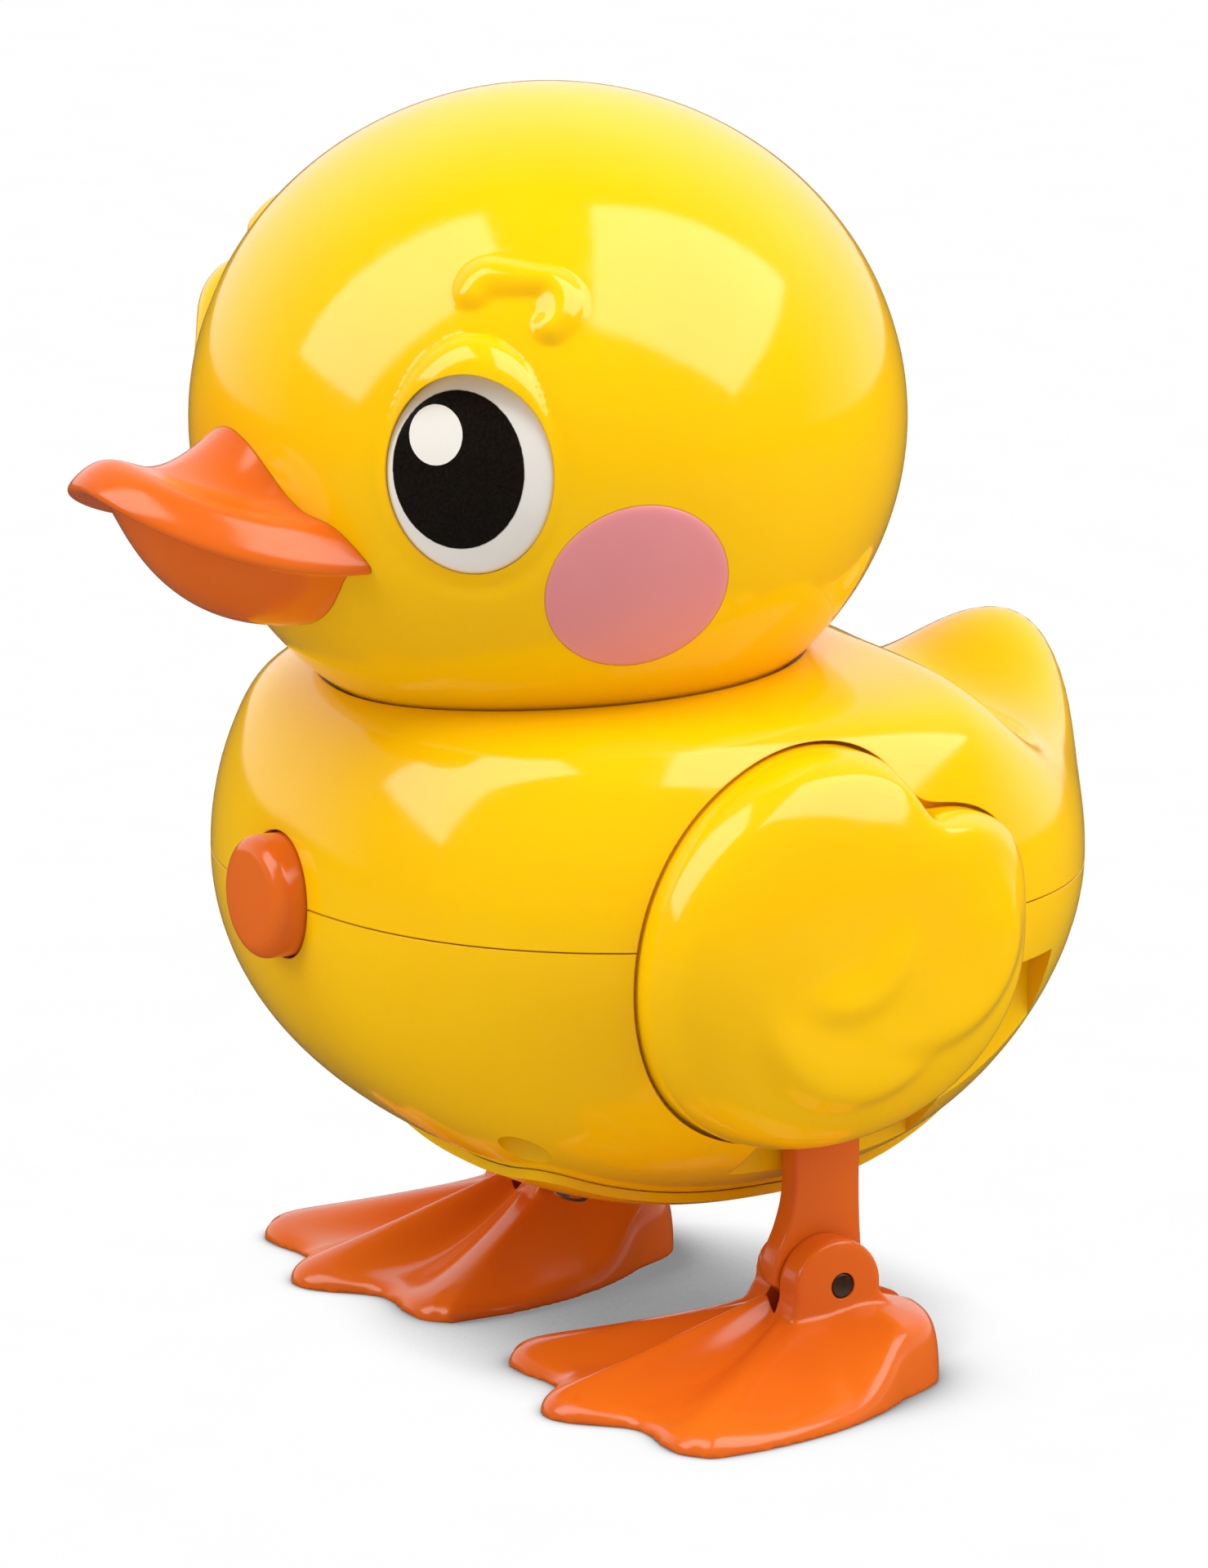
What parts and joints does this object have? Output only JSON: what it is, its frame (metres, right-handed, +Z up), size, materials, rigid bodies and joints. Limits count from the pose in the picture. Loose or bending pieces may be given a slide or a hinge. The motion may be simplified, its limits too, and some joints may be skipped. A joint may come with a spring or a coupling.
{
  "type": "wind-up hopping duckling toy",
  "caption": "Wind-up hopping duckling: glossy two-part body, turning head with flat bill, hip covers, clockwork motor, sprung webbed feet, chest button and side winding knob.",
  "frame": {"origin": "on the ground, under the middle of the toy's box; the plane of symmetry is x = 0.004 m and the hip shaft and ankle pins are at y = 0.0145 m", "axes": "+Z up, -Y the way the duckling faces, +X its left side"},
  "size_m": [0.119, 0.1299, 0.1509],
  "materials": {
    "yellow_plastic": "glossy",
    "orange_plastic": "glossy",
    "pink_plastic": "satin",
    "white_plastic": "satin",
    "steel": "zinc plated",
    "brass": "stamped",
    "dark_steel": "rough"
  },
  "bodies": {
    "body": {"lower_body_shell": "yellow_plastic", "upper_body_shell": "yellow_plastic", "belly_cover": "yellow_plastic", "left_wing": "yellow_plastic", "right_wing": "yellow_plastic", "left_motor_plate": "steel", "right_motor_plate": "steel", "mainspring": "steel", "hop_spring": "steel", "button_spring": "steel", "stop_lever_pin": "steel", "shell_screw_1": "steel", "shell_screw_2": "steel", "shell_screw_3": "steel", "shell_screw_4": "steel", "belly_screw_1": "steel", "belly_screw_2": "steel", "left_wing_screw": "steel", "right_wing_screw": "steel", "plate_screw_1": "steel", "plate_screw_2": "steel", "plate_screw_3": "steel", "motor_screw_1": "steel", "motor_screw_2": "steel", "motor_screw_3": "steel", "motor_screw_4": "steel"},
    "head": {"head_shell": "yellow_plastic", "left_eye": "white_plastic", "right_eye": "white_plastic", "left_cheek": "pink_plastic", "right_cheek": "pink_plastic", "upper_bill": "orange_plastic", "lower_bill": "orange_plastic", "neck_swivel": "white_plastic", "neck_retainer": "steel", "neck_screw": "steel"},
    "legs": {"hip_shaft": "steel", "hip_lever": "steel", "left_leg": "orange_plastic", "right_leg": "orange_plastic", "left_leg_screw": "steel", "right_leg_screw": "steel"},
    "foot_left": {"left_foot": "orange_plastic", "left_ankle_pin": "dark_steel", "left_ankle_spring": "steel"},
    "foot_right": {"right_foot": "orange_plastic", "right_ankle_pin": "dark_steel", "right_ankle_spring": "steel"},
    "winder": {"winding_arbor": "steel", "winding_knob": "orange_plastic", "great_wheel": "brass"},
    "second_stage": {"second_wheel": "white_plastic"},
    "cam_stage": {"cam_wheel": "white_plastic"},
    "governor": {"governor_wheel": "white_plastic"},
    "button": {"chest_button": "orange_plastic"},
    "brake": {"stop_lever": "steel"}
  },
  "joints": [
    {"name": "head_turn", "type": "hinge", "parent": "body", "child": "head", "pos_m": [0.004, -0.004, 0.0835], "axis": [0, 0, 1], "range_deg": [-35, 35]},
    {"name": "hip_swing", "type": "hinge", "parent": "body", "child": "legs", "pos_m": [0.004, 0.0145, 0.043], "axis": [1, 0, 0], "range_deg": [-10, 12], "stiffness_Nm_per_rad": 1.5},
    {"name": "left_ankle", "type": "hinge", "parent": "legs", "child": "foot_left", "pos_m": [0.0354, 0.0145, 0.0123], "axis": [1, 0, 0], "range_deg": [0, 28], "stiffness_Nm_per_rad": 0.005},
    {"name": "right_ankle", "type": "hinge", "parent": "legs", "child": "foot_right", "pos_m": [-0.0274, 0.0145, 0.0123], "axis": [1, 0, 0], "range_deg": [0, 28], "stiffness_Nm_per_rad": 0.005},
    {"name": "winding_turn", "type": "hinge", "parent": "body", "child": "winder", "pos_m": [0.004, 0.0115, 0.0577], "axis": [1, 0, 0], "continuous": true},
    {"name": "second_turn", "type": "hinge", "parent": "body", "child": "second_stage", "pos_m": [0.004, -0.00347, 0.05506], "axis": [1, 0, 0], "continuous": true},
    {"name": "cam_turn", "type": "hinge", "parent": "body", "child": "cam_stage", "pos_m": [0.004, -0.00785, 0.04303], "axis": [1, 0, 0], "continuous": true},
    {"name": "governor_turn", "type": "hinge", "parent": "body", "child": "governor", "pos_m": [0.004, -0.01893, 0.04943], "axis": [1, 0, 0], "continuous": true},
    {"name": "button_press", "type": "slide", "parent": "body", "child": "button", "axis": [0, 1, 0], "range_m": [0, 0.0012], "stiffness_N_per_m": 200, "deforming": ["button_spring"]},
    {"name": "brake_tilt", "type": "hinge", "parent": "body", "child": "brake", "pos_m": [0.004, -0.028, 0.053], "axis": [1, 0, 0], "range_deg": [-14, 0]}
  ],
  "couplings": [
    {"joint": "second_turn", "follows": "winding_turn", "ratio": -3.75},
    {"joint": "cam_turn", "follows": "winding_turn", "ratio": 11.25},
    {"joint": "governor_turn", "follows": "winding_turn", "ratio": -33.75},
    {"joint": "brake_tilt", "follows": "button_press", "rad_per_m": -200}
  ]
}
